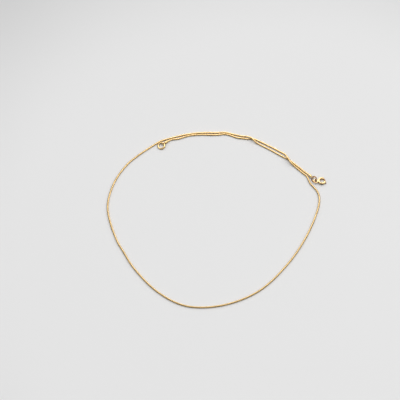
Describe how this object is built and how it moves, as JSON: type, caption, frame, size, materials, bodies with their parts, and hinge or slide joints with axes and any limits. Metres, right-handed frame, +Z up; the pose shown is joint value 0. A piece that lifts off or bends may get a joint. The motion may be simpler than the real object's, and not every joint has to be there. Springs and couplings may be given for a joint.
{
  "type": "fine chain necklace",
  "caption": "Fine smooth gold chain necklace laid open in a loop with its ends side by side, with capped ends, a closing ring and a spring-ring clasp.",
  "frame": {"origin": "middle of the necklace's outline in plan, on the table it lies on", "axes": "+Z up from the table, +X toward the clasp end, +Y away from the viewer"},
  "size_m": [0.1255, 0.1141, 0.0027],
  "materials": {
    "chain_gold": "gold-plated, close-linked and softly polished",
    "bright_gold": "gold-plated, bright polish",
    "deep_gold": "gold-plated, polished, darker and browner"
  },
  "bodies": {
    "necklace": {"chain_ring_half": "chain_gold", "chain_clasp_half": "chain_gold", "end_cap_ring_side": "bright_gold", "end_cap_clasp_side": "bright_gold", "closing_ring": "bright_gold", "jump_ring": "deep_gold", "clasp_ring": "bright_gold"},
    "gate": {"clasp_gate": "deep_gold"}
  },
  "joints": [
    {"name": "gate_draw", "type": "hinge", "parent": "necklace", "child": "gate", "pos_m": [0.06034, 0.02316, 0.00086], "axis": [-0.1298, -0.0136, -0.9914], "range_deg": [0, 70], "stiffness_Nm_per_rad": 0.002}
  ]
}
